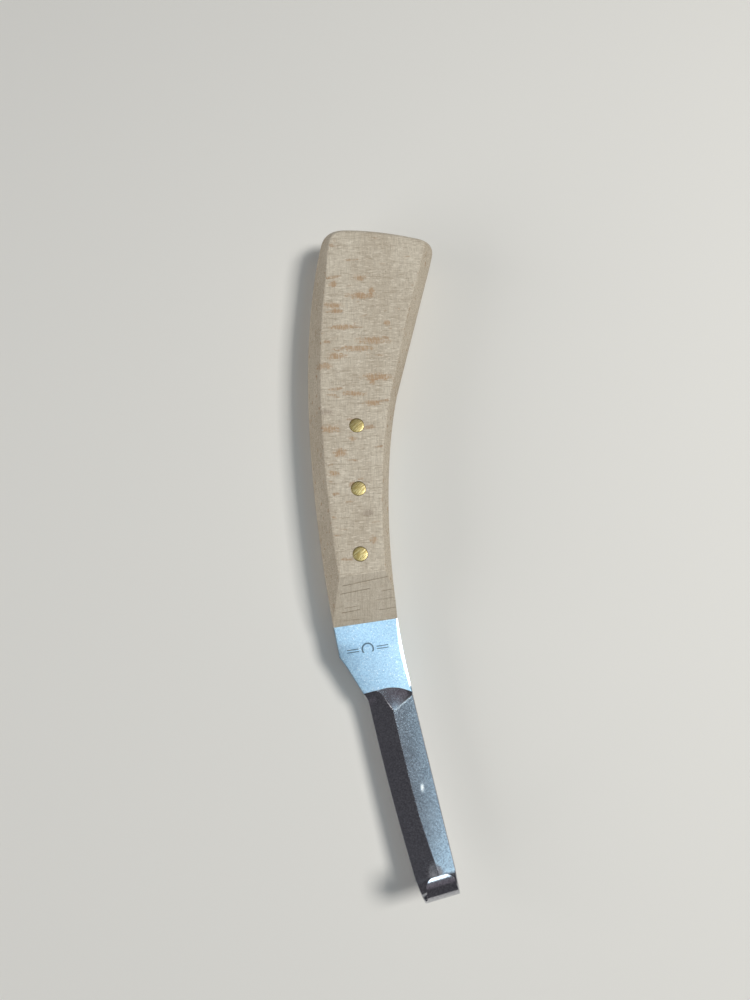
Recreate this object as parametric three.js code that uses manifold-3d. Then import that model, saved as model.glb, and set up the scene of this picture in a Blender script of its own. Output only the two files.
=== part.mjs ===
// Hoof knife: a bevelled beech handle, one piece of steel with a tang, a ground blade and a
// curled hook, and three brass pins that hold the tang in a kerf sawn into the handle.
//
// Millimetres, +Z up. The knife lies on the flat back of its handle and points its hook to -Y,
// and the handle's butt is at +Y. The plan is drawn around the front pin and moved at the end,
// so that the origin is the middle of the knife's footprint.

import * as THREE from 'three';
import { mergeVertices } from 'three/addons/utils/BufferGeometryUtils.js';
import Module from 'manifold-3d';

const wasm = await Module();
wasm.setup();

// ---------------------------------------------------------------- driving dimensions

const handleThickness = 18;
const midHeight = handleThickness / 2;
const steelThickness = 3;
const backHeight = midHeight - steelThickness / 2;
const clearance = 0.3;

const pinRadius = 2.5;
const pinSpacing = 22;
const pinCount = 3;
const tangEnd = 52;
const tangCorner = 6;
const kerfDepthBeyondTang = 2;

// The wood ends on a line across the steel, and a ramp on each face runs down to it.
const neckTilt = THREE.MathUtils.degToRad(6.7);
const neckDistance = 21.9;
const rampLength = 15.3;
const woodLip = 0.5;

// Long bevels: wider along the convex side, narrower along the hollow side near the blade.
const convexBevel = { width: 4.6, depth: 6.5 };
const hollowBevel = { width: 2.4, depth: 3.8 };
const buttBevel = { width: 3.4, depth: 5.0 };
const hollowBlend = [58, 85];
const convexBlend = [95, 114];

// The ground blade leaves the handle's line at an angle and is measured along its own line.
const bladeAngle = THREE.MathUtils.degToRad(12.8);
const heel = new THREE.Vector2(8.6, -45.2);
const bladeLength = 56;
const heelWidth = 14.7;
const hookStartWidth = 12.5;
const edgeSwell = 0.75;
const edgeSwellSpan = 70;
const bowRise = 2;
const grindLength = 5;
const ridgeOffset = -0.5;
const heelSection = { edge: 0.75, ridge: 2.5, spine: 2.1 };
const hookSection = { edge: 0.55, ridge: 1.5, spine: 1.05 };

const hookRadius = 6;
const hookTurn = THREE.MathUtils.degToRad(192);
const hookTipWidth = 8.5;
const tipRoundLength = 2.4;
const tipFlatShare = 0.55;

// How finely curves are cut into facets, and how far a cutting tool runs past its work.
const sideDivisions = 30;
const cornerDivisions = 8;
const roundSegments = 32;
const bowSteps = 8;
const hookSteps = 20;
const overrun = 5;

// ---------------------------------------------------------------- materials

const beech = new THREE.MeshStandardMaterial({ color: 0xcdb69d, roughness: 0.75, metalness: 0 });
const steel = new THREE.MeshStandardMaterial({ color: 0xb4bdc4, roughness: 0.3, metalness: 1 });
const brass = new THREE.MeshStandardMaterial({ color: 0xc9a24c, roughness: 0.35, metalness: 1 });

// ---------------------------------------------------------------- solids and booleans

function solidFrom(geometry) {
  const bare = geometry.clone();
  bare.deleteAttribute('normal');
  bare.deleteAttribute('uv');
  const merged = mergeVertices(bare, 1e-4);
  const vertProperties = new Float32Array(merged.attributes.position.array);
  const triVerts = new Uint32Array(merged.index.array);
  return new wasm.Manifold(new wasm.Mesh({ numProp: 3, vertProperties, triVerts }));
}

function meshFrom(name, solid, material) {
  const { vertProperties, triVerts } = solid.getMesh();
  const geometry = new THREE.BufferGeometry();
  geometry.setAttribute('position', new THREE.BufferAttribute(vertProperties, 3));
  geometry.setIndex(new THREE.BufferAttribute(triVerts, 1));
  geometry.computeVertexNormals();
  const mesh = new THREE.Mesh(geometry, material);
  mesh.name = name;
  return mesh;
}

// A closed geometry from rings of equal length: quads between the rings and a flat cap at each end.
function loft(rings) {
  const count = rings[0].length;
  const positions = rings.flat().flatMap((point) => point.toArray());
  const index = [];
  for (let ring = 0; ring < rings.length - 1; ring += 1) {
    for (let i = 0; i < count; i += 1) {
      const a = ring * count + i;
      const b = ring * count + ((i + 1) % count);
      index.push(a, b, b + count, a, b + count, a + count);
    }
  }
  const flatten = (ring) => {
    const [first, second] = [ring[0], ring[Math.floor(count / 3)]];
    const across = second.clone().sub(first).normalize();
    const normal = new THREE.Vector3();
    for (let i = 0; i < count; i += 1) {
      normal.add(ring[i].clone().sub(first).cross(ring[(i + 1) % count].clone().sub(first)));
    }
    const along = normal.normalize().clone().cross(across);
    return ring.map((point) => {
      const offset = point.clone().sub(first);
      return new THREE.Vector2(offset.dot(across), offset.dot(along));
    });
  };
  const last = (rings.length - 1) * count;
  for (const [a, b, c] of THREE.ShapeUtils.triangulateShape(flatten(rings[0]), [])) {
    index.push(a, c, b);
  }
  for (const [a, b, c] of THREE.ShapeUtils.triangulateShape(flatten(rings.at(-1)), [])) {
    index.push(last + a, last + b, last + c);
  }
  const geometry = new THREE.BufferGeometry();
  geometry.setAttribute('position', new THREE.Float32BufferAttribute(positions, 3));
  geometry.setIndex(index);
  return geometry;
}

// ---------------------------------------------------------------- the plan

// The hollow side runs from the blade's heel up the steel and the wood in one line, and on
// along a straight flank to the butt. The convex side runs from the butt down to the kink
// where the steel narrows.
const hollowSide = new THREE.Path();
hollowSide.moveTo(15.8, -43.6);
hollowSide.bezierCurveTo(8, -10, 8.5, 34, 15.5, 60);
hollowSide.lineTo(29.2, 109);

const convexSide = new THREE.Path();
convexSide.moveTo(-11, 114);
convexSide.bezierCurveTo(-22, 68, -14, 2, -7.5, -33);

const buttEnd = new THREE.Path();
buttEnd.moveTo(29.2, 109);
buttEnd.quadraticCurveTo(31.2, 115.4, 23.5, 117);
buttEnd.quadraticCurveTo(9, 120.4, -2.5, 120.3);
buttEnd.quadraticCurveTo(-9.6, 120.2, -11, 114);

function pinCentres() {
  return Array.from({ length: pinCount }, (_, i) => new THREE.Vector2(0, i * pinSpacing));
}

function pinHoles() {
  return pinCentres().map(({ x, y }) => {
    const hole = new THREE.Path();
    hole.absarc(x, y, pinRadius + clearance, 0, Math.PI * 2, true);
    return hole;
  });
}

// ---------------------------------------------------------------- handle

// The bevel's width and depth at a point of the outline. The hollow side has x > 0, and each
// side's own bevel turns into the butt's bevel over a stretch of y.
function bevelAt({ x, y }) {
  const [side, blend] = x > 0 ? [hollowBevel, hollowBlend] : [convexBevel, convexBlend];
  const t = THREE.MathUtils.smoothstep(y, ...blend);
  return {
    width: THREE.MathUtils.lerp(side.width, buttBevel.width, t),
    depth: THREE.MathUtils.lerp(side.depth, buttBevel.depth, t),
  };
}

function handleBlank() {
  const outline = [
    ...hollowSide.getPoints(sideDivisions),
    ...buttEnd.getPoints(cornerDivisions).slice(1, -1),
    ...convexSide.getPoints(sideDivisions),
  ];
  const rings = [[], [], [], []];
  outline.forEach((point, i) => {
    const before = outline[Math.max(i - 1, 0)];
    const after = outline[Math.min(i + 1, outline.length - 1)];
    const along = after.clone().sub(before).normalize();
    const inward = new THREE.Vector2(-along.y, along.x);
    const { width, depth } = bevelAt(point);
    const inset = point.clone().addScaledVector(inward, width);
    rings[0].push(new THREE.Vector3(inset.x, inset.y, 0));
    rings[1].push(new THREE.Vector3(point.x, point.y, depth));
    rings[2].push(new THREE.Vector3(point.x, point.y, handleThickness - depth));
    rings[3].push(new THREE.Vector3(inset.x, inset.y, handleThickness));
  });
  return solidFrom(loft(rings));
}

// Everything the saw and the sander take off at the neck, in one cutter seen from the side:
// the wood beyond the neck line and a sloping slice off each face.
function neckWaste() {
  const lipHalf = steelThickness / 2 + clearance + woodLip;
  const beyond = neckDistance + 40;
  const top = midHeight + overrun;
  const slope = (midHeight - lipHalf) / rampLength;
  const start = neckDistance - rampLength - overrun / slope;
  const profile = new THREE.Shape([
    new THREE.Vector2(start, top),
    new THREE.Vector2(neckDistance, lipHalf),
    new THREE.Vector2(neckDistance, -lipHalf),
    new THREE.Vector2(start, -top),
    new THREE.Vector2(beyond, -top),
    new THREE.Vector2(beyond, top),
  ]);
  const reach = 60;
  const cutter = new THREE.ExtrudeGeometry(profile, { depth: reach, bevelEnabled: false });
  cutter.translate(0, 0, -reach / 2);
  cutter.rotateX(Math.PI / 2);
  cutter.rotateZ(-Math.PI / 2 + neckTilt);
  cutter.translate(0, 0, midHeight);
  return solidFrom(cutter);
}

function kerf() {
  const width = 100;
  const thickness = steelThickness + 2 * clearance;
  const start = -60;
  const end = tangEnd + kerfDepthBeyondTang;
  const slot = new THREE.BoxGeometry(width, end - start, thickness);
  slot.translate(0, (start + end) / 2, midHeight);
  return solidFrom(slot);
}

function pinDrill({ x, y }) {
  const radius = pinRadius + clearance;
  const drill = new THREE.CylinderGeometry(radius, radius, handleThickness + overrun, roundSegments);
  drill.rotateX(Math.PI / 2);
  drill.translate(x, y, midHeight);
  return solidFrom(drill);
}

function makeHandle() {
  let handle = handleBlank().subtract(neckWaste()).subtract(kerf());
  for (const centre of pinCentres()) {
    handle = handle.subtract(pinDrill(centre));
  }
  return meshFrom('handle', handle, beech);
}

// ---------------------------------------------------------------- blade

const bladeDirection = new THREE.Vector2(Math.sin(bladeAngle), -Math.cos(bladeAngle));
const bladeSide = new THREE.Vector2(Math.cos(bladeAngle), Math.sin(bladeAngle));

function heelPoint(across) {
  return heel.clone().addScaledVector(bladeSide, across);
}

// Tang and ricasso: a flat plate whose sides are the handle's own sides, flush with the wood.
function plate() {
  const besideTang = (point) => point.y < tangEnd - tangCorner;
  const hollow = hollowSide.getPoints(sideDivisions).filter(besideTang);
  const convex = convexSide.getPoints(sideDivisions).filter(besideTang);
  const [right, left] = [hollow.at(-1), convex[0]];
  const outline = new THREE.Shape();
  const heelRight = heelPoint(heelWidth / 2);
  const heelLeft = heelPoint(-heelWidth / 2);
  outline.moveTo(heelRight.x, heelRight.y);
  hollow.slice(1).forEach((point) => outline.lineTo(point.x, point.y));
  outline.quadraticCurveTo(right.x, tangEnd, right.x - tangCorner, tangEnd);
  outline.lineTo(left.x + tangCorner, tangEnd);
  outline.quadraticCurveTo(left.x, tangEnd, left.x, left.y);
  convex.slice(1).forEach((point) => outline.lineTo(point.x, point.y));
  outline.bezierCurveTo(-5.2, -35.4, -3.2, -39.6, heelLeft.x, heelLeft.y);
  outline.holes.push(...pinHoles());
  const steelPlate = new THREE.ExtrudeGeometry(outline, {
    depth: steelThickness,
    bevelEnabled: false,
    curveSegments: roundSegments / 2,
  });
  steelPlate.translate(0, 0, backHeight);
  return solidFrom(steelPlate);
}

// The back of the blade seen from the side: a shallow bow, then the tight curl of the hook.
// Gives the distance along the blade's line, the height and the slope after a length of steel.
function backLine(length) {
  const bowRadius = (bladeLength * bladeLength) / (2 * bowRise);
  if (length <= 0) {
    return { along: length, height: backHeight, slope: 0 };
  }
  const bowed = Math.min(length, bladeLength);
  const bowSlope = bowed / bowRadius;
  const slope = bowSlope + Math.max(0, length - bladeLength) / hookRadius;
  const along = bowRadius * Math.sin(bowSlope) + hookRadius * (Math.sin(slope) - Math.sin(bowSlope));
  const climb = bowRadius * (1 - Math.cos(bowSlope)) + hookRadius * (Math.cos(bowSlope) - Math.cos(slope));
  return { along, height: backHeight + climb, slope };
}

// How far the cutting edge swells past its straight taper, from the heel to inside the hook.
function swellAt(length) {
  const isSwollen = length > 0 && length < edgeSwellSpan;
  return isSwollen ? edgeSwell * Math.sin((Math.PI * length) / edgeSwellSpan) : 0;
}

// Cross-section with a flat back and a roof-shaped front: cutting edge, ridge and spine.
function bladeRing(length, width, section) {
  const { along, height, slope } = backLine(length);
  const origin = heel.clone().addScaledVector(bladeDirection, along);
  const spine = width / 2;
  const edge = -spine - swellAt(length);
  const corners = [
    [edge, 0],
    [spine, 0],
    [spine, section.spine],
    [ridgeOffset * (width / heelWidth), section.ridge],
    [edge, section.edge],
  ];
  return corners.map(([across, thick]) => {
    const place = origin.clone().addScaledVector(bladeSide, across);
    place.addScaledVector(bladeDirection, -thick * Math.sin(slope));
    return new THREE.Vector3(place.x, place.y, height + thick * Math.cos(slope));
  });
}

function groundBlade() {
  const full = { edge: steelThickness, ridge: steelThickness, spine: steelThickness };
  const mix = (from, to, t) => ({
    edge: THREE.MathUtils.lerp(from.edge, to.edge, t),
    ridge: THREE.MathUtils.lerp(from.ridge, to.ridge, t),
    spine: THREE.MathUtils.lerp(from.spine, to.spine, t),
  });
  const rings = [bladeRing(-2, heelWidth, full), bladeRing(0, heelWidth, full)];
  for (let i = 0; i <= bowSteps; i += 1) {
    const length = THREE.MathUtils.lerp(grindLength, bladeLength, i / bowSteps);
    const width = THREE.MathUtils.lerp(heelWidth, hookStartWidth, length / bladeLength);
    rings.push(bladeRing(length, width, mix(heelSection, hookSection, i / bowSteps)));
  }
  const hookLength = hookRadius * hookTurn;
  for (let i = 1; i <= hookSteps; i += 1) {
    const t = i / hookSteps;
    const taper = THREE.MathUtils.lerp(hookStartWidth, hookTipWidth, t);
    const fromTip = hookLength * (1 - t);
    const cut = Math.max(0, 1 - fromTip / tipRoundLength);
    const width = taper * Math.sqrt(1 - (1 - tipFlatShare ** 2) * cut ** 2);
    rings.push(bladeRing(bladeLength + hookLength * t, width, hookSection));
  }
  return solidFrom(loft(rings));
}

function makeBlade() {
  return meshFrom('blade', plate().add(groundBlade()), steel);
}

// ---------------------------------------------------------------- pins

function makePin(name, { x, y }) {
  const geometry = new THREE.CylinderGeometry(pinRadius, pinRadius, handleThickness, roundSegments);
  geometry.rotateX(Math.PI / 2);
  const pin = new THREE.Mesh(geometry, brass);
  pin.name = name;
  pin.position.set(x, y, midHeight);
  return pin;
}

// ---------------------------------------------------------------- the knife

const knife = new THREE.Group();
const pinNames = ['rivet_front', 'rivet_middle', 'rivet_rear'];
knife.add(makeHandle(), makeBlade());
pinCentres().forEach((centre, i) => knife.add(makePin(pinNames[i], centre)));

const footprint = new THREE.Box3().setFromObject(knife, true);
const middle = footprint.getCenter(new THREE.Vector3());
knife.position.set(-middle.x, -middle.y, -footprint.min.z);
knife.updateMatrixWorld(true);

export default knife;
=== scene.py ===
"""Hoof knife: the fine visual model of a beech handle, a ground steel blade and three brass pins.

The pieces are drawn in millimetres around the front pin, as the CAD part is, and moved into
the frame by the place of that pin. Everything in the Blender scene is in metres.
"""

import math

import bmesh
import bpy
import numpy as np
from mathutils import Matrix, Vector, noise


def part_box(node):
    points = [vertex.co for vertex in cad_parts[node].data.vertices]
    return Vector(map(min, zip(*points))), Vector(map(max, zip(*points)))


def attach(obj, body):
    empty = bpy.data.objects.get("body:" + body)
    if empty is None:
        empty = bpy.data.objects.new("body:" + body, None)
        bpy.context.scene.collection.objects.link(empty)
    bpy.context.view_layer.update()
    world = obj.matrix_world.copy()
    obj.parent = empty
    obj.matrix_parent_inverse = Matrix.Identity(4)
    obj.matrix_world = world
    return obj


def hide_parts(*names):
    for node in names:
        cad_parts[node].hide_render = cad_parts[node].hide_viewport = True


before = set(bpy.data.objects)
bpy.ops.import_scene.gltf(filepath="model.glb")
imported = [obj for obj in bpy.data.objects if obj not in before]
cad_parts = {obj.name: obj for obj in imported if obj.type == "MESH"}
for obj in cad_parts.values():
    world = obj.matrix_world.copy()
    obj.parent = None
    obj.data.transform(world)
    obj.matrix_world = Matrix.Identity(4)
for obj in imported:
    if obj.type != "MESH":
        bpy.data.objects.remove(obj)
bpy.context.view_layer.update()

# ---------------------------------------------------------------- driving dimensions, in millimetres

MM = 0.001
HANDLE_THICKNESS = 18.0
MID_HEIGHT = HANDLE_THICKNESS / 2
STEEL_THICKNESS = 3.0
BACK_HEIGHT = MID_HEIGHT - STEEL_THICKNESS / 2
WOOD_GAP = 0.06
PIN_GAP = 0.03
PIN_RADIUS = 2.5
PIN_SPACING = 22.0
PIN_NAMES = ("rivet_front", "rivet_middle", "rivet_rear")
TANG_END = 52.0
TANG_CORNER = 6.0
KERF_END = TANG_END + 2.0

NECK_TILT = math.radians(6.7)
NECK_DISTANCE = 21.9
RAMP_LENGTH = 15.3
WOOD_LIP = 0.3

CONVEX_BEVEL = (4.6, 6.5)
HOLLOW_BEVEL = (2.4, 3.8)
BUTT_BEVEL = (3.4, 5.0)
HOLLOW_BLEND = (58.0, 85.0)
CONVEX_BLEND = (95.0, 114.0)
EDGE_SOFTNESS = 0.7

BLADE_ANGLE = math.radians(12.8)
HEEL = Vector((8.6, -45.2))
BLADE_LENGTH = 56.0
HEEL_WIDTH = 14.7
HOOK_START_WIDTH = 12.5
EDGE_SWELL = 0.75
EDGE_SWELL_SPAN = 70.0
BOW_RISE = 2.0
HOOK_RADIUS = 6.0
HOOK_TURN = math.radians(192)
HOOK_TIP_WIDTH = 8.5
TIP_ROUND_LENGTH = 2.4
TIP_FLAT_SHARE = 0.55

# The front pin's middle is the plan's origin.
pin_low, pin_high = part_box(PIN_NAMES[0])
PLAN_ORIGIN = (pin_low + pin_high) / 2


def to_frame(x, y, z):
    """A point of the plan, in millimetres, as a point of the frame, in metres."""
    return Vector((PLAN_ORIGIN.x + x * MM, PLAN_ORIGIN.y + y * MM, z * MM))


def smoothstep(value, low, high):
    t = np.clip((value - low) / (high - low), 0, 1)
    return t * t * (3 - 2 * t)


def lerp(a, b, t):
    return a + (b - a) * t


# ---------------------------------------------------------------- curves of the plan


def bezier(controls, count):
    """Points along a Bezier curve of any degree."""
    t = np.linspace(0, 1, count)[:, None, None]
    points = np.array(controls, float)[None]
    while points.shape[1] > 1:
        points = lerp(points[:, :-1], points[:, 1:], t)
    return points[:, 0]


def resampled(points, spacing):
    """The same line with its points at an even spacing."""
    steps = np.linalg.norm(np.diff(points, axis=0), axis=1)
    length = np.concatenate([[0], np.cumsum(steps)])
    even = np.linspace(0, length[-1], max(2, round(length[-1] / spacing)))
    return np.stack([np.interp(even, length, points[:, k]) for k in range(2)], axis=1)


FLANK_START = (15.5, 60.0)
FLANK_END = (29.2, 109.0)
CONVEX_START = (-11.0, 114.0)
KINK = (-7.5, -33.0)

hollow_side = np.concatenate([
    bezier([(15.8, -43.6), (8, -10), (8.5, 34), FLANK_START], 120),
    bezier([FLANK_START, FLANK_END], 40)[1:],
])
butt_end = np.concatenate([
    bezier([FLANK_END, (31.2, 115.4), (23.5, 117)], 20),
    bezier([(23.5, 117), (9, 120.4), (-2.5, 120.3)], 30)[1:],
    bezier([(-2.5, 120.3), (-9.6, 120.2), CONVEX_START], 20)[1:],
])
convex_side = bezier([CONVEX_START, (-22, 68), (-14, 2), KINK], 160)

# ---------------------------------------------------------------- mesh helpers


def mesh_object(name, vertices, faces):
    """An object from plan points, with its faces turned outwards."""
    mesh = bpy.data.meshes.new(name)
    mesh.from_pydata([to_frame(*v) for v in vertices], [], faces)
    work = bmesh.new()
    work.from_mesh(mesh)
    bmesh.ops.recalc_face_normals(work, faces=work.faces)
    work.to_mesh(mesh)
    work.free()
    obj = bpy.data.objects.new(name, mesh)
    bpy.context.scene.collection.objects.link(obj)
    return obj


def tube_faces(ring_count, ring_size):
    """Quads between closed rings, and one cap at each end."""
    faces = []
    for ring in range(ring_count - 1):
        for i in range(ring_size):
            a = ring * ring_size + i
            b = ring * ring_size + (i + 1) % ring_size
            faces.append((a, b, b + ring_size, a + ring_size))
    faces.append(tuple(range(ring_size)))
    last = (ring_count - 1) * ring_size
    faces.append(tuple(range(last, last + ring_size)))
    return faces


def prism(name, near, far):
    """A cutting tool between two polygons of the same length."""
    return mesh_object(name, list(near) + list(far), tube_faces(2, len(near)))


def cut_away(obj, tools):
    """Takes each tool's solid out of obj."""
    for tool in tools:
        modifier = obj.modifiers.new("cut", "BOOLEAN")
        modifier.operation = "DIFFERENCE"
        modifier.solver = "EXACT"
        modifier.object = tool
    bake_modifiers(obj)
    for tool in tools:
        bpy.data.objects.remove(tool)


def bake_modifiers(obj):
    bpy.context.view_layer.update()
    evaluated = obj.evaluated_get(bpy.context.evaluated_depsgraph_get())
    obj.data = bpy.data.meshes.new_from_object(evaluated)
    obj.modifiers.clear()


def smooth_with_creases(obj, degrees):
    """Smooth shading that stays crisp where faces meet at more than an angle."""
    obj.data.shade_smooth()
    obj.data.set_sharp_from_angle(angle=math.radians(degrees))
    weighted = obj.modifiers.new("weighted", "WEIGHTED_NORMAL")
    weighted.keep_sharp = True
    weighted.weight = 80
    bake_modifiers(obj)


# ---------------------------------------------------------------- handle


def bevel_at(x, y):
    """Width and depth of the bevel at a point of the handle's outline."""
    side, blend = (HOLLOW_BEVEL, HOLLOW_BLEND) if x > 0 else (CONVEX_BEVEL, CONVEX_BLEND)
    t = smoothstep(y, *blend)
    return lerp(side[0], BUTT_BEVEL[0], t), lerp(side[1], BUTT_BEVEL[1], t)


def softened(corners, radius, steps=5):
    """A polyline with its inner corners rounded off."""
    line = [corners[0]]
    for before, corner, after in zip(corners, corners[1:], corners[2:]):
        start = corner + (before - corner).normalized() * radius
        end = corner + (after - corner).normalized() * radius
        for t in np.linspace(0, 1, steps):
            line.append(lerp(lerp(start, corner, t), lerp(corner, end, t), t))
    line.append(corners[-1])
    return line


def handle_blank():
    """The shaped board before the saw and the drill: rings that follow the outline."""
    outline = resampled(np.concatenate([hollow_side, butt_end[1:-1], convex_side]), 0.9)
    columns = []
    for i, (x, y) in enumerate(outline):
        before = outline[max(i - 1, 0)]
        after = outline[min(i + 1, len(outline) - 1)]
        along = Vector(after - before).normalized()
        inward = Vector((-along.y, along.x))
        width, depth = bevel_at(x, y)
        top = HANDLE_THICKNESS
        profile = softened([
            Vector((width + EDGE_SOFTNESS * 1.2, top)),
            Vector((width, top)),
            Vector((0, top - depth)),
            Vector((0, depth)),
            Vector((width, 0)),
            Vector((width + EDGE_SOFTNESS * 1.2, 0)),
        ], EDGE_SOFTNESS)
        columns.append([(x + inward.x * inset, y + inward.y * inset, z) for inset, z in profile])
    rings = list(zip(*columns))
    vertices = [point for ring in rings for point in ring]
    return mesh_object("handle_beech", vertices, tube_faces(len(rings), len(outline)))


def neck_point(across, distance, height):
    """A point measured from the front pin: across the knife and along it, in the neck's tilt."""
    x = across * math.cos(NECK_TILT) + distance * math.sin(NECK_TILT)
    y = across * math.sin(NECK_TILT) - distance * math.cos(NECK_TILT)
    return x, y, MID_HEIGHT + height


LIP_HALF = STEEL_THICKNESS / 2 + WOOD_GAP + WOOD_LIP
RAMP_SLOPE = (MID_HEIGHT - LIP_HALF) / RAMP_LENGTH


def neck_waste():
    """The wood beyond the neck line and the sloping slices that make the two ramps."""
    overrun = 5.0
    top = MID_HEIGHT + overrun
    start = NECK_DISTANCE - RAMP_LENGTH - overrun / RAMP_SLOPE
    beyond = NECK_DISTANCE + 40
    profile = [
        (start, top),
        (NECK_DISTANCE, LIP_HALF),
        (NECK_DISTANCE, -LIP_HALF),
        (start, -top),
        (beyond, -top),
        (beyond, top),
    ]
    reach = 40
    return prism(
        "neck_waste",
        [neck_point(-reach, *p) for p in profile],
        [neck_point(reach, *p) for p in profile],
    )


def kerf_tool():
    half = STEEL_THICKNESS / 2 + WOOD_GAP
    corners = [(-60, -60), (60, -60), (60, KERF_END), (-60, KERF_END)]
    return prism(
        "kerf_tool",
        [(x, y, MID_HEIGHT - half) for x, y in corners],
        [(x, y, MID_HEIGHT + half) for x, y in corners],
    )


def drill_tool(y, radius):
    circle = [
        (radius * math.cos(a), y + radius * math.sin(a))
        for a in np.linspace(0, 2 * math.pi, 64, endpoint=False)
    ]
    return prism(
        "drill_tool",
        [(cx, cy, -2) for cx, cy in circle],
        [(cx, cy, HANDLE_THICKNESS + 2) for cx, cy in circle],
    )


# Torn saw marks on the front ramp: distance from the pin, where each starts and ends across
# the handle, its extra tilt in degrees and its depth.
SAW_MARKS = (
    (8.9, -7.4, 8.6, 3.6, 0.36),
    (11.6, -8.3, 1.4, 2.8, 0.42),
    (12.6, 5.2, 9.2, 1.5, 0.28),
    (15.2, 3.2, 9.8, 1.0, 0.22),
    (16.3, -7.4, -3.0, 2.0, 0.28),
    (17.6, -8.6, -2.6, 2.2, 0.38),
    (18.4, 3.8, 10.2, 1.2, 0.28),
    (20.4, -8.4, -1.5, -2.0, 0.20),
)
SAW_MARK_WIDTH = 0.26


def saw_mark_tool(distance, left, right, tilt, depth):
    """A thin wedge along the ramp, deepest in its middle."""
    near, far = [], []
    middle = (left + right) / 2
    for across, sink, line in ((left, 0.02, near), (right, 0.02, far)):
        along = distance - (across - middle) * math.tan(math.radians(tilt))
        surface = MID_HEIGHT - RAMP_SLOPE * (along - NECK_DISTANCE + RAMP_LENGTH)
        for step, rise in ((-SAW_MARK_WIDTH, 0.5), (0, -sink - depth), (SAW_MARK_WIDTH, 0.5)):
            line.append(neck_point(across, along + step, surface + rise))
    return prism("saw_mark", near, far)


def make_handle():
    handle = handle_blank()
    tools = [neck_waste(), kerf_tool()]
    tools += [drill_tool(i * PIN_SPACING, PIN_RADIUS + PIN_GAP) for i in range(len(PIN_NAMES))]
    tools += [saw_mark_tool(*mark) for mark in SAW_MARKS]
    cut_away(handle, tools)
    smooth_with_creases(handle, 17)
    return handle


# ---------------------------------------------------------------- blade

BLADE_DIRECTION = Vector((math.sin(BLADE_ANGLE), -math.cos(BLADE_ANGLE)))
BLADE_SIDE = Vector((math.cos(BLADE_ANGLE), math.sin(BLADE_ANGLE)))
heel_left = HEEL - BLADE_SIDE * HEEL_WIDTH / 2
heel_right = HEEL + BLADE_SIDE * HEEL_WIDTH / 2

steel_left = np.concatenate([
    convex_side,
    bezier([KINK, (-5.2, -35.4), (-3.2, -39.6), tuple(heel_left)], 40)[1:],
])
steel_right = np.concatenate([[tuple(heel_right)], hollow_side[1:]])

# Edges of the cross-section: a small bevel on the cutting edge and a softened spine.
EDGE_BEVEL = 0.15
SPINE_SOFTNESS = 0.25
CHAMFER_SLOPE = 0.17
HALF_COLUMNS = 60
RIDGE_FLAT = 0.08

# The two ground facets: thickness over the back at the heel and at the hook.
RIDGE_HEIGHTS = (2.5, 1.5)
EDGE_HEIGHTS = (0.75, 0.55)
SPINE_HEIGHTS = (2.1, 1.05)


def crossing(side, y, tilt):
    """Where a line across the knife, tilted from a height y on the pin's axis, meets a side."""
    gap = side[:, 1] - y - side[:, 0] * math.tan(tilt)
    k = np.where(np.diff(np.sign(gap)))[0][0]
    t = gap[k] / (gap[k] - gap[k + 1])
    return Vector(lerp(side[k], side[k + 1], t))


def back_line(length):
    """Distance along the blade's line, height and slope of the back after a length of steel."""
    bow_radius = BLADE_LENGTH ** 2 / (2 * BOW_RISE)
    if length <= 0:
        return length, BACK_HEIGHT, 0.0
    bow = min(length, BLADE_LENGTH) / bow_radius
    slope = bow + max(0.0, length - BLADE_LENGTH) / HOOK_RADIUS
    along = bow_radius * math.sin(bow) + HOOK_RADIUS * (math.sin(slope) - math.sin(bow))
    climb = bow_radius * (1 - math.cos(bow)) + HOOK_RADIUS * (math.cos(bow) - math.cos(slope))
    return along, BACK_HEIGHT + climb, slope


RIDGE_START = -0.1
RIDGE_SWING = 0.62
RIDGE_BOW_POWER = 1.2
RIDGE_RETURN = 0.8
RIDGE_RETURN_SPAN = (0.65, 1.05)


def ridge_place(length):
    """The ridge between the facets, measured from the blade's line: it bows to the edge and back."""
    t = np.clip(length / BLADE_LENGTH, 0, None)
    bowed = math.sin(math.pi * min(t ** RIDGE_BOW_POWER, 1))
    return RIDGE_START - RIDGE_SWING * bowed + RIDGE_RETURN * smoothstep(t, *RIDGE_RETURN_SPAN)


def swell_at(length):
    """How far the cutting edge swells past its straight taper, from the heel to inside the hook."""
    if 0 < length < EDGE_SWELL_SPAN:
        return EDGE_SWELL * math.sin(math.pi * length / EDGE_SWELL_SPAN)
    return 0.0


# Lines across the blade, each a length along it for a distance across it. The arch ends the flat
# ricasso, the run-out line starts the spine-side facet, and the wall line starts the edge-side one.
ARCH_LEVEL = -2.5
ARCH_FALL = 0.0105
ARCH_MIDDLE = -3.0
RUN_OUT_CORNER = (-0.1, 5.4)
RUN_OUT_SLOPE = -0.49
WALL_LEVEL = -2.45
WALL_MIDDLE = -5.0
WALL_CURVE = 0.325
WALL_SLOPE = 0.6
WALL_LEAST = 0.12


def arch_line(across):
    return ARCH_LEVEL + ARCH_FALL * max(across - ARCH_MIDDLE, 0) ** 2.5


def run_out_line(across):
    return RUN_OUT_CORNER[1] + RUN_OUT_SLOPE * (across - RUN_OUT_CORNER[0])


def wall_line(across):
    return WALL_LEVEL + WALL_CURVE * max(across - WALL_MIDDLE, 0) ** 2


def spine_facet(length, across, spine):
    """Height of the facet between the ridge and the spine, carried on past the ridge."""
    t = np.clip(length / BLADE_LENGTH, 0, 1)
    ridge_at = ridge_place(length)
    return lerp(lerp(*RIDGE_HEIGHTS, t), lerp(*SPINE_HEIGHTS, t), (across - ridge_at) / (spine - ridge_at))


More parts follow.
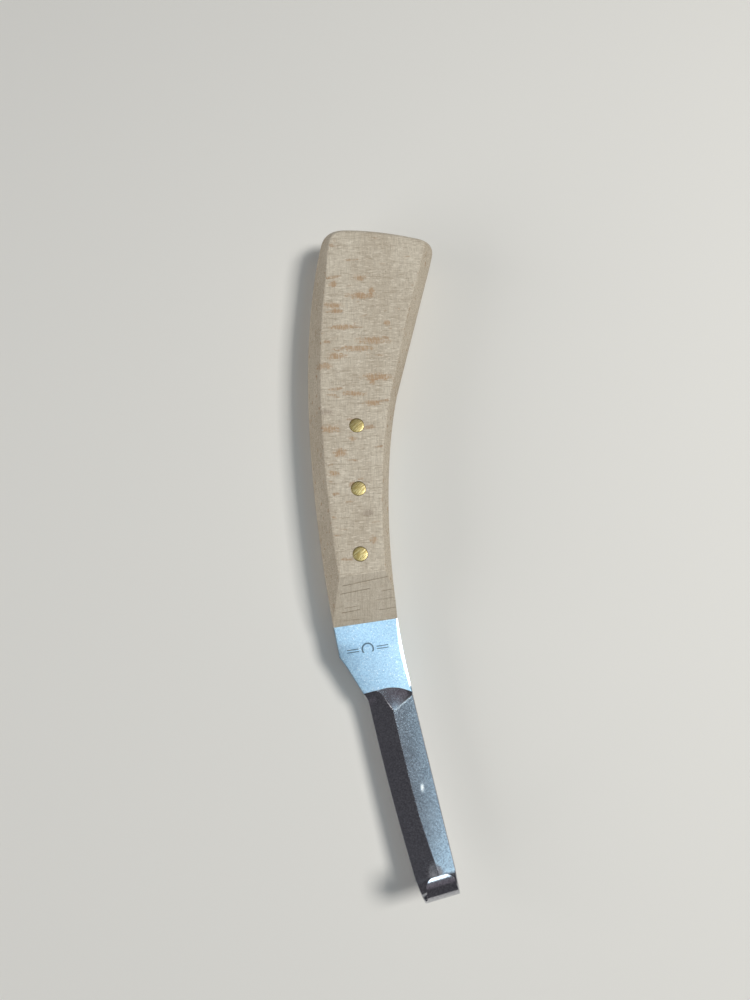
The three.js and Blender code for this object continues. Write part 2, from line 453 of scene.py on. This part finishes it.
def edge_facet(length, across, edge):
    """Height of the facet between the ridge and the cutting edge, carried on past the ridge."""
    t = np.clip(length / BLADE_LENGTH, 0, 1)
    ridge_at = ridge_place(length)
    return lerp(lerp(*RIDGE_HEIGHTS, t), lerp(*EDGE_HEIGHTS, t), (across - ridge_at) / (edge - ridge_at))


CROWN_REACH = (-21.0, -13.0)
CROWN_CURVE = 0.0026


def ricasso_height(length, across):
    """The polished flat falls off a little to both sides, away from the wood."""
    share = smoothstep(length, *CROWN_REACH)
    return STEEL_THICKNESS - CROWN_CURVE * share * across * across


def run_out_height(length, across, spine):
    """The spine-side facet and the slope that runs it out into the flat."""
    line = run_out_line(across)
    if length >= line:
        return spine_facet(length, across, spine)
    arch = arch_line(across)
    t = (line - length) / (line - arch)
    return lerp(spine_facet(line, across, spine), ricasso_height(arch, across), t)


def top_height(length, across, edge, spine):
    """Height of the blade's front over its back: the lowest of the flat and the two grinds."""
    if length <= arch_line(across):
        return ricasso_height(length, across)
    spine_side = run_out_height(length, across, spine)
    wall = wall_line(across)
    if across > ridge_place(length) or length < wall:
        return spine_side
    rise = run_out_height(wall, across, spine) - edge_facet(wall, across, edge)
    edge_side = edge_facet(length, across, edge)
    if rise > WALL_LEAST:
        edge_side += rise * math.exp((wall - length) * WALL_SLOPE / rise)
    return min(spine_side, edge_side)


CHAMFER_START = -44.5
CHAMFER_LENGTH = 26.0
CHAMFER_WIDTH = 0.7


def spine_chamfer(y):
    """Width of the polished chamfer along the ricasso's spine side: a slim lens."""
    t = (y - CHAMFER_START) / CHAMFER_LENGTH
    return CHAMFER_WIDTH * math.sin(math.pi * t) if 0 < t < 1 else 0.0


def blade_stations():
    """Lines across the steel, from the end of the tang to the tip of the hook."""
    stations = []
    for y in np.concatenate([np.linspace(TANG_END, -14, 24), np.arange(-14.8, -42, -0.8)]):
        tilt = BLADE_ANGLE * smoothstep(-y, 0.0, 45.0)
        left = crossing(steel_left, y, tilt)
        right = crossing(steel_right, y, tilt)
        if y > TANG_END - TANG_CORNER:
            shrink = TANG_CORNER - math.sqrt(TANG_CORNER ** 2 - (y - TANG_END + TANG_CORNER) ** 2)
            left.x += shrink
            right.x -= shrink
        middle = (left + right) / 2
        stations.append((left, right, min(-2.95, (middle - HEEL).dot(BLADE_DIRECTION))))
    hook_length = HOOK_RADIUS * HOOK_TURN
    lengths = np.concatenate([
        np.arange(-2.8, 6.0, 0.08),
        np.arange(6.0, 12.0, 0.4),
        np.arange(12.0, BLADE_LENGTH, 0.8),
        np.linspace(BLADE_LENGTH, BLADE_LENGTH + hook_length - TIP_ROUND_LENGTH, 50)[:-1],
        BLADE_LENGTH + hook_length - TIP_ROUND_LENGTH * np.cos(np.linspace(0, math.pi / 2, 10)),
    ])
    for length in lengths:
        if length <= BLADE_LENGTH:
            width = lerp(HEEL_WIDTH, HOOK_START_WIDTH, max(length, 0) / BLADE_LENGTH)
        else:
            t = (length - BLADE_LENGTH) / hook_length
            cut = max(0.0, 1 - (hook_length * (1 - t)) / TIP_ROUND_LENGTH)
            width = lerp(HOOK_START_WIDTH, HOOK_TIP_WIDTH, t)
            width *= math.sqrt(1 - (1 - TIP_FLAT_SHARE ** 2) * cut ** 2)
        along = back_line(length)[0]
        middle = HEEL + BLADE_DIRECTION * along
        half = width / 2
        if length < 0:
            y = middle.y - middle.x * math.tan(BLADE_ANGLE)
            left = crossing(steel_left, y, BLADE_ANGLE)
            right = crossing(steel_right, y, BLADE_ANGLE)
        else:
            left = middle - BLADE_SIDE * (half + swell_at(length))
            right = middle + BLADE_SIDE * half
        stations.append((left, right, length))
    return stations


def across_places(low, high, ridge_at, left_bevel, right_bevel):
    """Distances across the steel for the columns: denser bevels, and a column close on each side of the
    ridge.
    """
    left = np.linspace(low + left_bevel, ridge_at - RIDGE_FLAT, HALF_COLUMNS)
    right = np.linspace(ridge_at + RIDGE_FLAT, high - right_bevel, HALF_COLUMNS)
    return np.concatenate([[low, low + left_bevel * 0.5], left, right, [high - right_bevel * 0.5, high]])


# How far the two long edges of the steel are rounded down: on the plate, and once it is ground.
GRIND_SPAN = (-2.5, 0.0)
EDGE_DROPS = (0.05, 0.45)
SPINE_DROPS = (0.06, 0.22)
EDGE_LAND = 0.12
MIDDLE_SHARES = (0.3, 0.75)


def blade_ring(left, right, length):
    """One cross-section: the front from edge to spine, and the flat back in return."""
    _, height, slope = back_line(length)
    direction = (right - left).normalized()
    width = (right - left).length
    middle = (HEEL - left).dot(direction) if length < 0 else (width + swell_at(length)) / 2
    middle = min(max(middle, width * MIDDLE_SHARES[0]), width * MIDDLE_SHARES[1])
    edge, spine = (-middle, width - middle) if length >= 0 else (-HEEL_WIDTH / 2, HEEL_WIDTH / 2)
    ground = smoothstep(length, *GRIND_SPAN)
    chamfer = spine_chamfer(right.y)
    low, high = -middle, width - middle
    ridge_at = ridge_place(max(length, 0.0))
    right_bevel = SPINE_SOFTNESS + chamfer
    places = across_places(low, high, ridge_at, EDGE_BEVEL, right_bevel)
    ring = []
    for k, across in enumerate(places):
        thick = top_height(length, across, edge, spine)
        from_left, from_right = across - low, high - across
        if from_left < EDGE_BEVEL - 1e-6:
            drop = lerp(EDGE_DROPS[0], min(EDGE_DROPS[1], thick - EDGE_LAND), ground)
            thick -= drop * (1 - from_left / EDGE_BEVEL)
        if from_right < right_bevel - 1e-6:
            drop = lerp(*SPINE_DROPS, ground) + CHAMFER_SLOPE * chamfer
            thick -= drop * (1 - from_right / right_bevel)
        ring.append((across, thick))
    ring += [(across, 0.0) for across in places[::-1][::4]]
    if ring[-1][0] != low:
        ring.append((low, 0.0))
    points = []
    for across, thick in ring:
        place = left + direction * (across - low)
        place = place - BLADE_DIRECTION * thick * math.sin(slope)
        points.append((place.x, place.y, height + thick * math.cos(slope)))
    return points


def make_blade():
    rings = [blade_ring(*station) for station in blade_stations()]
    vertices = [point for ring in rings for point in ring]
    blade = mesh_object("blade_steel", vertices, tube_faces(len(rings), len(rings[0])))
    holes = [drill_tool(i * PIN_SPACING, PIN_RADIUS + PIN_GAP) for i in range(len(PIN_NAMES))]
    cut_away(blade, holes)
    blade.data.shade_smooth()
    blade.data.set_sharp_from_angle(angle=math.radians(24))
    return blade


# ---------------------------------------------------------------- pins


# A pin's end from its middle outwards: radius, and drop from the dome at the soft rim.
PIN_END = ((0.45, 0.0), (0.9, 0.0), (1.35, 0.0), (1.8, 0.0), (2.2, 0.0), (2.42, -0.03), (2.5, -0.12))
PIN_SEGMENTS = 72
PIN_CROWN = 0.16
PIN_BACK_GAP = 0.02
FILE_MARK_DEPTH = 0.025
FILE_MARK_SLANT = 0.7
FILE_MARKS_PER_MM = 3.1


def make_pin(name, y):
    """A brass pin: its front end is a low dome with file marks, and both ends have a soft rim."""
    rings = []
    for top in (True, False):
        rows = PIN_END if top else PIN_END[::-1]
        for radius, drop in rows:
            ring = []
            for a in np.linspace(0, 2 * math.pi, PIN_SEGMENTS, endpoint=False):
                x, dy = radius * math.cos(a), radius * math.sin(a)
                if top:
                    crown = PIN_CROWN * (1 - (radius / PIN_RADIUS) ** 2)
                    stripe = noise.noise(Vector((0, (dy - FILE_MARK_SLANT * x) * FILE_MARKS_PER_MM, y)))
                    z = HANDLE_THICKNESS + crown + drop + FILE_MARK_DEPTH * stripe
                else:
                    z = PIN_BACK_GAP - drop
                ring.append((x, y + dy, z))
            rings.append(ring)
    vertices = [point for ring in rings for point in ring]
    return mesh_object(name, vertices, tube_faces(len(rings), PIN_SEGMENTS))


def make_pins():
    pins = []
    for i, node in enumerate(PIN_NAMES):
        pin = make_pin(node + "_brass", i * PIN_SPACING)
        smooth_with_creases(pin, 40)
        pins.append(pin)
    return pins


# ---------------------------------------------------------------- materials


class Nodes:
    """Short calls for building one material's node tree."""

    def __init__(self, name):
        self.material = bpy.data.materials.new(name)
        self.material.use_nodes = True
        self.tree = self.material.node_tree
        self.shader = self.tree.nodes["Principled BSDF"]
        coordinates = self.tree.nodes.new("ShaderNodeTexCoord")
        self.position = self.math3("MULTIPLY", coordinates.outputs["Object"], (1 / MM,) * 3)
        self.normal = coordinates.outputs["Normal"]

    def put(self, value, socket):
        """Feeds a socket from another socket or a plain value."""
        if isinstance(value, bpy.types.NodeSocket):
            self.tree.links.new(value, socket)
        else:
            socket.default_value = value

    def math3(self, operation, a, b):
        node = self.tree.nodes.new("ShaderNodeVectorMath")
        node.operation = operation
        self.put(a, node.inputs[0])
        self.put(b, node.inputs[1])
        return node.outputs["Value" if operation == "LENGTH" else "Vector"]

    def math(self, operation, a, b=0.0):
        node = self.tree.nodes.new("ShaderNodeMath")
        node.operation = operation
        self.put(a, node.inputs[0])
        self.put(b, node.inputs[1])
        return node.outputs[0]

    def stretch(self, offset, scale, turn=0.0):
        """Coordinates for a texture: scale is its features per millimetre, turned about Z."""
        node = self.tree.nodes.new("ShaderNodeMapping")
        node.vector_type = "TEXTURE"
        node.inputs["Location"].default_value = offset
        node.inputs["Rotation"].default_value = (0, 0, turn)
        node.inputs["Scale"].default_value = [1 / s for s in scale]
        self.tree.links.new(self.position, node.inputs["Vector"])
        return node.outputs[0]

    def noise(self, vector, scale=1.0, detail=2.0, roughness=0.5):
        node = self.tree.nodes.new("ShaderNodeTexNoise")
        self.put(vector, node.inputs["Vector"])
        node.inputs["Scale"].default_value = scale
        node.inputs["Detail"].default_value = detail
        node.inputs["Roughness"].default_value = roughness
        return node.outputs["Fac"]

    def range(self, value, low, high, out_low=0.0, out_high=1.0):
        """A smooth step from out_low to out_high between two values."""
        node = self.tree.nodes.new("ShaderNodeMapRange")
        node.interpolation_type = "SMOOTHSTEP"
        for socket, number in zip(node.inputs[1:5], (low, high, out_low, out_high)):
            socket.default_value = number
        self.put(value, node.inputs[0])
        return node.outputs[0]

    def mix(self, amount, a, b, blend="MIX"):
        node = self.tree.nodes.new("ShaderNodeMix")
        node.data_type = "RGBA"
        node.blend_type = blend
        self.put(amount, node.inputs[0])
        self.put(a, node.inputs[6])
        self.put(b, node.inputs[7])
        return node.outputs[2]

    def around(self, x, y, turn):
        """Coordinates measured from a point of the plan, on axes turned about Z."""
        node = self.tree.nodes.new("ShaderNodeVectorRotate")
        node.rotation_type = "Z_AXIS"
        node.inputs["Angle"].default_value = -turn
        self.put(self.math3("SUBTRACT", self.position, to_frame(x, y, 0) / MM), node.inputs["Vector"])
        return self.split(node.outputs["Vector"])

    def bump(self, height, strength, distance):
        node = self.tree.nodes.new("ShaderNodeBump")
        node.inputs["Strength"].default_value = strength
        node.inputs["Distance"].default_value = distance
        self.put(height, node.inputs["Height"])
        return node.outputs[0]

    def split(self, vector):
        node = self.tree.nodes.new("ShaderNodeSeparateXYZ")
        self.put(vector, node.inputs[0])
        return node.outputs


def rgb(red, green, blue):
    """A display colour of 0 to 255 as a linear one."""
    return tuple(((c / 255 + 0.055) / 1.055) ** 2.4 for c in (red, green, blue)) + (1.0,)


# Ray flecks of the front face, in plan millimetres. They crowd towards the butt, most are
# short across the grain, all are thin along it, and about one in six is grey, not brown.
FLECK_COUNT = 24
FLECK_SEED = 1
FLECK_STRETCH = (-6.0, 101.0)
FLECK_CROWDING = 0.6
FLECK_LENGTHS = (2.0, 13.0)
FLECK_HEIGHTS = (1.7, 2.9)
FLECK_MARGIN = 5.0
FLECK_GREY_SHARE = 1 / 6
FLECK_DEPTH = 3.0


def scattered_flecks():
    """Middle, length across the grain, height along it and greyness of each ray fleck."""
    draw = np.random.default_rng(FLECK_SEED)
    for i in range(FLECK_COUNT):
        share = (i + draw.random()) / FLECK_COUNT
        y = lerp(*FLECK_STRETCH, share ** FLECK_CROWDING)
        left = crossing(convex_side, y, 0.0).x + FLECK_MARGIN
        right = crossing(hollow_side, y, 0.0).x - FLECK_MARGIN
        x = draw.uniform(left, right)
        length = lerp(*FLECK_LENGTHS, draw.random() ** 2)
        height = draw.uniform(*FLECK_HEIGHTS)
        yield x, y, length, height, draw.random() < FLECK_GREY_SHARE


def beech(name, light, dark, fleck_amount, sawn):
    """Untreated beech, a solid texture: the grain runs along Y and the rays lie along X."""
    n = Nodes(name)
    cloud = n.noise(n.stretch((3, 7, 1), (0.09, 0.03, 0.09)), detail=2)
    color = n.mix(n.range(cloud, 0.35, 0.65), light, dark)
    ring = n.noise(n.stretch((11, 0, 5), (0.55, 0.012, 0.12)), detail=3)
    color = n.mix(n.range(ring, 0.42, 0.62, 0.0, 0.30), color, dark)
    fibre = n.noise(n.stretch((0, 0, 0), (3.6, 0.22, 3.6)), detail=3, roughness=0.65)
    color = n.mix(n.range(fibre, 0.3, 0.62, 0.34, 0.0), color, rgb(142, 130, 112))
    pore = n.noise(n.stretch((5, 3, 9), (5.5, 0.7, 5.5)), detail=1)
    pores = n.range(pore, 0.64, 0.74, 0.0, 0.5)
    color = n.mix(pores, color, rgb(128, 110, 92))
    weave = n.noise(n.stretch((2, 4, 6), (0.26, 2.7, 2.2)), detail=3, roughness=0.65)
    color = n.mix(n.range(weave, 0.50, 0.66, 0.0, 0.22 if sawn else 0.62), color, rgb(158, 143, 122))
    glint = n.noise(n.stretch((9, 2, 6), (0.6, 2.2, 2.2)), detail=2, roughness=0.6)
    color = n.mix(n.range(glint, 0.54, 0.68, 0.0, 0.2 if sawn else 0.6), color, rgb(232, 223, 206))
    warp = n.noise(n.stretch((8, 1, 3), (0.5, 0.5, 0.5)), detail=2)
    ray_at = n.math3("ADD", n.stretch((1.5, 0.3, 2.2), (0.115, 0.42, 1.5)), n.math("MULTIPLY", warp, 0.5))
    ray = n.noise(ray_at, detail=1.5, roughness=0.45)
    fleck = n.range(ray, 0.64, 0.72, 0.0, fleck_amount)
    hatch = n.range(n.noise(n.stretch((1, 1, 1), (3.1, 0.5, 3.1)), detail=2), 0.36, 0.6, 0.45, 1.0)
    color = n.mix(n.math("MULTIPLY", fleck, hatch), color, rgb(168, 136, 104))
    if fleck_amount > 0.5:
        color = front_flecks(n, color, hatch)
    # Painted shade: faces that turn sideways, the bevels, are darkened by their normal.
    sideways = n.math("ABSOLUTE", n.split(n.normal)[0])
    color = n.mix(n.range(sideways, 0.4, 0.85), color, (0.81, 0.79, 0.77, 1.0), "MULTIPLY")
    height = n.math("ADD", n.math("MULTIPLY", fibre, 0.6), n.math("MULTIPLY", pores, -0.8))
    if sawn:
        strand = n.noise(n.stretch((7, 0, 2), (3.0, 0.12, 0.3)), detail=2)
        color = n.mix(n.range(strand, 0.46, 0.66, 0.0, 0.28), color, rgb(146, 132, 112))
        mark = n.noise(n.stretch((0, 0, 0), (0.14, 1.5, 1.5), turn=NECK_TILT), detail=2)
        color = n.mix(n.range(mark, 0.56, 0.72, 0.0, 0.22), color, rgb(140, 124, 104))
        height = n.math("ADD", height, mark)
    n.tree.links.new(color, n.shader.inputs["Base Color"])
    n.put(n.range(fibre, 0.3, 0.7, 0.66, 0.82), n.shader.inputs["Roughness"])
    n.shader.inputs["Specular IOR Level"].default_value = 0.32
    n.tree.links.new(n.bump(height, 0.35, 0.0001), n.shader.inputs["Normal"])
    return n.material


def front_flecks(n, color, hatch):
    """The flecks of the front face, each an ellipse with a torn edge, hatched by the fibres."""
    tear = n.noise(n.stretch((4, 4, 4), (0.9, 1.4, 0.9)), detail=3, roughness=0.7)
    ragged = n.range(tear, 0.3, 0.7, -0.42, 0.42)
    for x, y, length, height, grey in scattered_flecks():
        reach = (2 / length, 2 / height, 1 / FLECK_DEPTH)
        place = n.math3("SUBTRACT", n.position, to_frame(x, y, HANDLE_THICKNESS) / MM)
        near = n.math3("LENGTH", n.math3("MULTIPLY", place, reach), (0, 0, 0))
        mask = n.range(n.math("ADD", near, ragged), 0.5, 1.25, 0.62 if grey else 0.88, 0.0)
        tone = rgb(156, 141, 126) if grey else rgb(178, 147, 114)
        color = n.mix(n.math("MULTIPLY", mask, hatch), color, tone)
    return color


def steel(name, light, dark, roughness, fineness, relief, spark_level, glitter, scratches):
    """Bare steel with sparkling grains and fine scratches across the blade."""
    n = Nodes(name)
    grain = n.noise(n.stretch((0, 0, 0), (2.0, 2.0, 2.0)), fineness, detail=3, roughness=0.75)
    color = n.mix(n.range(grain, 0.36, 0.64), dark, light)
    spark = n.noise(n.stretch((4, 4, 4), (3.0, 3.0, 3.0)), fineness, detail=1)
    sparks = n.range(spark, spark_level, spark_level + 0.1, 0.0, glitter)
    color = n.mix(sparks, color, rgb(255, 255, 255))
    scratch_at = n.stretch((0, 0, 0), (0.35, 7.0, 7.0), turn=math.radians(50))
    scratch = n.noise(scratch_at, detail=1)
    lines = n.range(scratch, 0.70, 0.76, 0.0, scratches)
    wipe = n.noise(n.stretch((2, 2, 2), (0.16, 0.10, 0.16)), detail=2)
    sheen = n.range(wipe, 0.3, 0.7, roughness * 0.94, roughness * 1.06)
    rough = n.math("ADD", sheen, n.math("MULTIPLY", sparks, 0.16))
    rough = n.math("ADD", rough, n.math("MULTIPLY", lines, 0.06))
    n.put(rough, n.shader.inputs["Roughness"])
    n.shader.inputs["Metallic"].default_value = 1.0
    n.tree.links.new(color, n.shader.inputs["Base Color"])
    fine = n.noise(n.stretch((1, 5, 2), (2.6, 2.6, 2.6)), fineness, detail=3, roughness=0.7)
    height = n.math("SUBTRACT", n.math("MULTIPLY", fine, relief), n.math("MULTIPLY", lines, 0.12))
    n.tree.links.new(n.bump(height, 1.0, 0.00003), n.shader.inputs["Normal"])
    return n, color, rough


# The ground steel gets a painted highlight, whitened and rougher, in one spot and along the crease where
# the run-out starts.
GLINT_SPOT = HEEL + BLADE_DIRECTION * 30.3 + BLADE_SIDE * 2.6
GLINT_REACH = (0.75, 1.7)
CREASE = HEEL + BLADE_DIRECTION * RUN_OUT_CORNER[1] + BLADE_SIDE * RUN_OUT_CORNER[0]
CREASE_TILT = BLADE_ANGLE - math.atan(RUN_OUT_SLOPE)
CREASE_LENGTH = 8.2


def painted_glint(n, color, rough):
    """Roughens the spot and the crease, and whitens them into a painted highlight."""
    x, y, _ = n.around(*GLINT_SPOT, 0.0)
    x = n.math("DIVIDE", x, GLINT_REACH[0])
    y = n.math("DIVIDE", y, GLINT_REACH[1])
    apart = n.math("SQRT", n.math("ADD", n.math("MULTIPLY", x, x), n.math("MULTIPLY", y, y)))
    spot = n.range(apart, 0.0, 1.25, 0.75, 0.0)
    x, y, _ = n.around(*CREASE, CREASE_TILT)
    beside = n.range(n.math("ABSOLUTE", y), 0.0, 0.5, 0.26, 0.0)
    begin = n.range(x, -0.3, 0.2)
    end = n.range(x, CREASE_LENGTH - 1.0, CREASE_LENGTH, 1.0, 0.0)
    crease = n.math("MULTIPLY", beside, n.math("MULTIPLY", begin, end))
    glint_share = n.math("MAXIMUM", spot, crease)
    n.put(n.math("ADD", rough, n.math("MULTIPLY", glint_share, 0.22)), n.shader.inputs["Roughness"])
    # Painted highlight: the base colour is whitened where the mask is.
    n.put(n.mix(glint_share, color, rgb(255, 255, 250)), n.shader.inputs["Base Color"])


# The etched mark is a plain horseshoe between two short double rules.
MARK_PLACE = (1.8, -30.3)
SHOE_RADIUS = 1.8
SHOE_LINE = 0.2
SHOE_GAP = -1.1
RULE_SPAN = (2.9, 6.8)
RULE_LINE = 0.1
RULE_PITCH = 0.4
MARK_SOFTNESS = 0.1
MARK_DARKNESS = 0.85


def etched(n, color):
    """Darkens a small generic mark into the flat of the steel."""
    x, y, _ = n.around(*MARK_PLACE, NECK_TILT)
    radius = n.math("SQRT", n.math("ADD", n.math("MULTIPLY", x, x), n.math("MULTIPLY", y, y)))
    off_shoe = n.math("ABSOLUTE", n.math("SUBTRACT", radius, SHOE_RADIUS))
    ring = n.range(off_shoe, SHOE_LINE, SHOE_LINE + MARK_SOFTNESS, 1, 0)
    shoe = n.math("MULTIPLY", ring, n.range(y, SHOE_GAP, SHOE_GAP + MARK_SOFTNESS))
    off_rule = n.math("ABSOLUTE", n.math("SUBTRACT", n.math("ABSOLUTE", y), RULE_PITCH))
    level = n.range(off_rule, RULE_LINE, RULE_LINE + MARK_SOFTNESS, 1, 0)
    reach = n.math("ABSOLUTE", x)
    begin = n.range(reach, RULE_SPAN[0], RULE_SPAN[0] + MARK_SOFTNESS)
    end = n.range(reach, RULE_SPAN[1], RULE_SPAN[1] + MARK_SOFTNESS, 1, 0)
    rules = n.math("MULTIPLY", level, n.math("MULTIPLY", begin, end))
    mask = n.math("MULTIPLY", n.math("MAXIMUM", shoe, rules), MARK_DARKNESS)
    n.tree.links.new(n.mix(mask, color, rgb(62, 74, 88)), n.shader.inputs["Base Color"])


def brass():
    """Filed brass: pale, with diagonal strokes."""
    n = Nodes("filed_brass")
    stroke = n.noise(n.stretch((0, 0, 0), (0.35, 3.2, 3.2), turn=math.radians(40)), detail=2)
    color = n.mix(n.range(stroke, 0.36, 0.62), rgb(222, 206, 152), rgb(178, 158, 100))
    n.tree.links.new(color, n.shader.inputs["Base Color"])
    n.put(n.range(stroke, 0.3, 0.7, 0.40, 0.52), n.shader.inputs["Roughness"])
    n.shader.inputs["Metallic"].default_value = 1.0
    n.tree.links.new(n.bump(stroke, 0.8, 0.00005), n.shader.inputs["Normal"])
    return n.material


def paint_handle(handle):
    """Planed faces, and the sawn ramps and end grain, each take their own beech."""
    handle.data.materials.clear()
    planed = beech("beech_planed", rgb(216, 207, 189), rgb(201, 190, 171), fleck_amount=0.75, sawn=False)
    sawn = beech("beech_sawn", rgb(204, 195, 178), rgb(192, 182, 164), fleck_amount=0.15, sawn=True)
    handle.data.materials.append(planed)
    handle.data.materials.append(sawn)
    ramp_top = to_frame(0, RAMP_LENGTH - NECK_DISTANCE + 3, 0).y
    for polygon in handle.data.polygons:
        is_ramp = polygon.center.y < ramp_top and polygon.normal.y < -0.2 and abs(polygon.normal.z) > 0.5
        is_butt = polygon.normal.y > 0.85
        polygon.material_index = int(is_ramp or is_butt)


def paint_blade(blade):
    satin, color, _ = steel(
        "steel_satin", rgb(192, 220, 238), rgb(160, 192, 216), roughness=0.34, fineness=0.9,
        relief=0.75, spark_level=0.64, glitter=0.9, scratches=0.15,
    )
    etched(satin, color)
    ground, color, rough = steel(
        "steel_ground", rgb(206, 207, 213), rgb(170, 171, 178), roughness=0.16, fineness=0.9,
        relief=0.03, spark_level=0.60, glitter=0.25, scratches=0.5,
    )
    # A painted highlight whitens one spot and the crease of the ground steel.
    painted_glint(ground, color, rough)
    blade.data.materials.clear()
    blade.data.materials.append(satin.material)
    blade.data.materials.append(ground.material)
    heel = to_frame(HEEL.x, HEEL.y, 0)
    for polygon in blade.data.polygons:
        offset = (polygon.center - heel) / MM
        along = offset.x * BLADE_DIRECTION.x + offset.y * BLADE_DIRECTION.y
        across = offset.x * BLADE_SIDE.x + offset.y * BLADE_SIDE.y
        polygon.material_index = int(along > arch_line(across))


# ---------------------------------------------------------------- light, floor and camera


def looking(place, aim):
    """The turn of a lamp or camera that looks from one point at another, its X kept level."""
    back = (place - aim).normalized()
    right = Vector((0, 1, 0)).cross(back).normalized()
    return Matrix((right, back.cross(right), back)).transposed()


def area_light(name, place, aim, size, power, color):
    data = bpy.data.lights.new(name, "AREA")
    data.shape = "RECTANGLE"
    data.size, data.size_y = size
    data.energy = power
    data.color = color
    light = bpy.data.objects.new(name, data)
    bpy.context.scene.collection.objects.link(light)
    turn = looking(Vector(place), Vector(aim))
    light.matrix_world = Matrix.Translation(place) @ turn.to_4x4()
    light.visible_camera = False


FLOOR_REACH = 0.8


def make_stage():
    corners = [(x * FLOOR_REACH, y * FLOOR_REACH, 0) for x, y in ((-1, -1), (1, -1), (1, 1), (-1, 1))]
    mesh = bpy.data.meshes.new("floor")
    mesh.from_pydata(corners, [], [(0, 1, 2, 3)])
    floor = bpy.data.objects.new("floor", mesh)
    bpy.context.scene.collection.objects.link(floor)
    paint = bpy.data.materials.new("floor_paint")
    paint.use_nodes = True
    paint.node_tree.nodes["Principled BSDF"].inputs["Base Color"].default_value = rgb(232, 231, 226)
    paint.node_tree.nodes["Principled BSDF"].inputs["Roughness"].default_value = 0.85
    mesh.materials.append(paint)


ROOM_LIGHT = 0.085
BACKDROP = 0.75


def make_light():
    """A dim room, three tinted lamps whose reflections shade the steel, a warm key and a low fill."""
    world = bpy.data.worlds.new("world")
    bpy.context.scene.world = world
    world.use_nodes = True
    room = world.node_tree.nodes["Background"]
    room.inputs["Color"].default_value = (1.0, 0.97, 1.05, 1)
    rays = world.node_tree.nodes.new("ShaderNodeLightPath")
    strength = world.node_tree.nodes.new("ShaderNodeMapRange")
    strength.inputs["To Min"].default_value = ROOM_LIGHT
    strength.inputs["To Max"].default_value = BACKDROP
    world.node_tree.links.new(rays.outputs["Is Camera Ray"], strength.inputs["Value"])
    world.node_tree.links.new(strength.outputs[0], room.inputs["Strength"])
    knife = (0.0, -0.02, 0.0)
    area_light("soft_overhead", (0.0, 0.025, 0.95), knife, (0.12, 0.25), 0.48, (0.76, 0.91, 1.0))
    area_light("soft_sky", (0.345, 0.0, 0.95), knife, (0.226, 0.43), 0.53, (0.54, 0.84, 1.0))
    area_light("soft_key", (0.63, 0.05, 0.93), knife, (0.30, 0.30), 8.5, (1.0, 0.97, 0.93))
    area_light("soft_fill", (-1.15, -0.30, 0.36), knife, (0.7, 1.2), 7.5, (1.0, 0.98, 0.96))
    area_light("soft_front", (0.15, -0.40, 0.90), knife, (0.30, 0.43), 0.042, (1.0, 0.84, 0.96))


CAMERA_FROM_PIN = (-7.81, -38.68, 255.79)
AIM_FROM_PIN = (5.39, 17.96, 0.0)
CAMERA_ROLL = math.radians(-1.88)
CAMERA_LENS = 28.44


def make_camera():
    """The camera looks down on the front face, from the blade's side and a little to the left."""
    data = bpy.data.cameras.new("camera")
    data.sensor_width = 36
    data.lens = CAMERA_LENS
    data.clip_start = 0.01
    camera = bpy.data.objects.new("camera", data)
    bpy.context.scene.collection.objects.link(camera)
    bpy.context.scene.camera = camera
    x, y, z = CAMERA_FROM_PIN
    place = to_frame(x, y, HANDLE_THICKNESS + z)
    aim = to_frame(AIM_FROM_PIN[0], AIM_FROM_PIN[1], HANDLE_THICKNESS)
    turn = looking(place, aim) @ Matrix.Rotation(CAMERA_ROLL, 3, "Z")
    camera.matrix_world = Matrix.Translation(place) @ turn.to_4x4()


# ---------------------------------------------------------------- the knife

handle = make_handle()
paint_handle(handle)
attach(handle, "root")
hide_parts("handle")

blade = make_blade()
paint_blade(blade)
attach(blade, "root")
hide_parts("blade")

brass_material = brass()
for pin, node in zip(make_pins(), PIN_NAMES):
    pin.data.materials.append(brass_material)
    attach(pin, "root")
    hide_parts(node)

make_stage()
make_light()
make_camera()
bpy.context.scene.view_settings.view_transform = "Standard"
